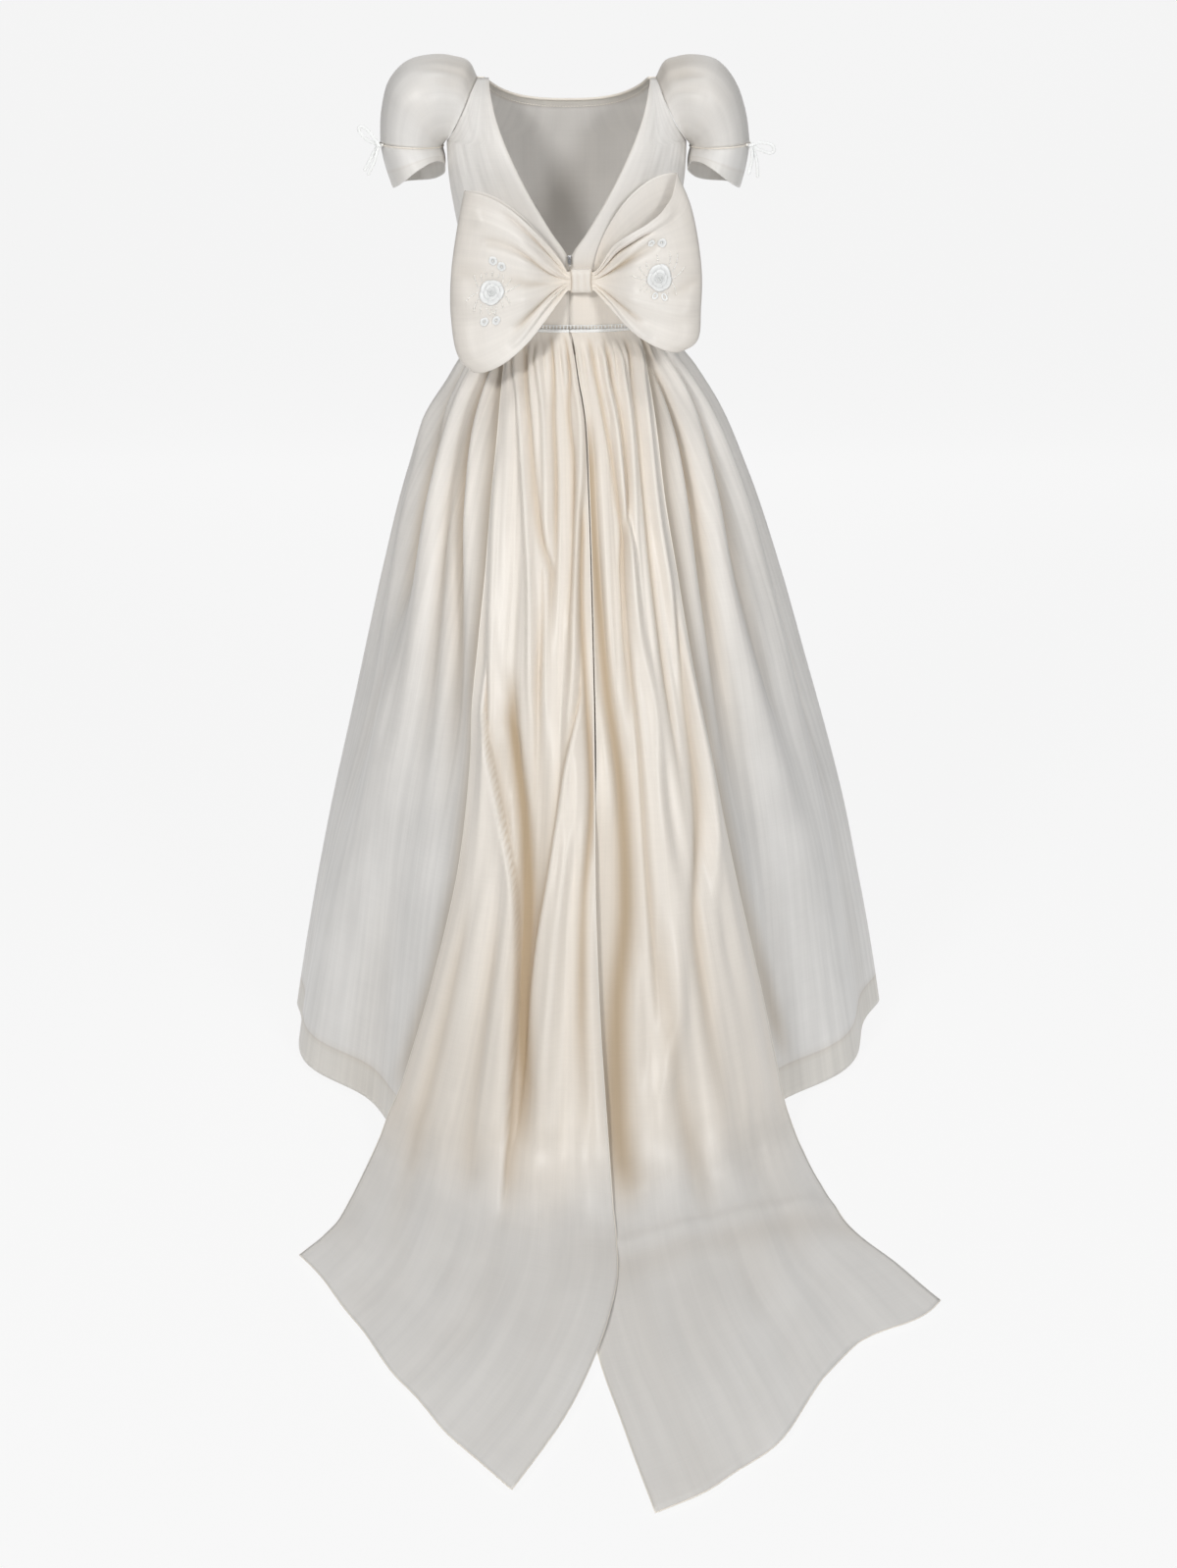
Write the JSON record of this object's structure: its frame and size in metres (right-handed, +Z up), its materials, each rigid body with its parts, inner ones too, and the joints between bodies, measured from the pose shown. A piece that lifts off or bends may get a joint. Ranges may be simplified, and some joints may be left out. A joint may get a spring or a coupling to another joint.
{
  "type": "short-sleeved wedding dress with a back bow and bow tails",
  "caption": "Full-length ivory wedding dress with puffed cap sleeves, a deep V back, a large bow with ribbon roses and two long tails that trail on the floor.",
  "frame": {"origin": "midway between the shoulders, level with the shoulder seams, where the wearer holds the dress up", "axes": "+Z up; the wearer faces +Y, so the V back and the bow face -Y; +X to the right of someone who looks at the back"},
  "size_m": [0.884, 1.6382, 1.3678],
  "materials": {
    "silk_bodice": "ivory silk over organza",
    "silk_sleeve": "ivory silk over organza",
    "silk_skirt": "sheer ivory silk",
    "silk_tail": "ivory silk",
    "silk_bow": "ivory silk",
    "rouleau": "covered cord",
    "ribbon": "white satin ribbon",
    "zip_metal": "nickel plate"
  },
  "bodies": {
    "dress": {"bodice_front": "silk_bodice", "bodice_back_left": "silk_bodice", "bodice_back_right": "silk_bodice", "sleeve_left": "silk_sleeve", "sleeve_right": "silk_sleeve", "cuff_left": "silk_sleeve", "cuff_right": "silk_sleeve", "tie_band_left": "rouleau", "tie_band_right": "rouleau", "tie_bow_left": "rouleau", "tie_bow_right": "rouleau", "waist_piping": "rouleau", "skirt_front": "silk_skirt", "skirt_back_left": "silk_skirt", "skirt_back_right": "silk_skirt", "tail_left": "silk_tail", "tail_right": "silk_tail", "bow_loop_left": "silk_bow", "bow_loop_right": "silk_bow", "bow_knot": "silk_bow", "rose_left": "ribbon", "rose_right": "ribbon", "rosette_left_1": "ribbon", "rosette_left_2": "ribbon", "rosette_left_3": "ribbon", "rosette_left_4": "ribbon", "rosette_right_1": "ribbon", "rosette_right_2": "ribbon", "zip_slider": "zip_metal"},
    "zip_pull": {"zip_pull": "zip_metal"}
  },
  "joints": [
    {"name": "pull_swing", "type": "hinge", "parent": "dress", "child": "zip_pull", "pos_m": [0.004, -0.1083, -0.218], "axis": [-1, 0, 0], "range_deg": [0, 120]}
  ]
}
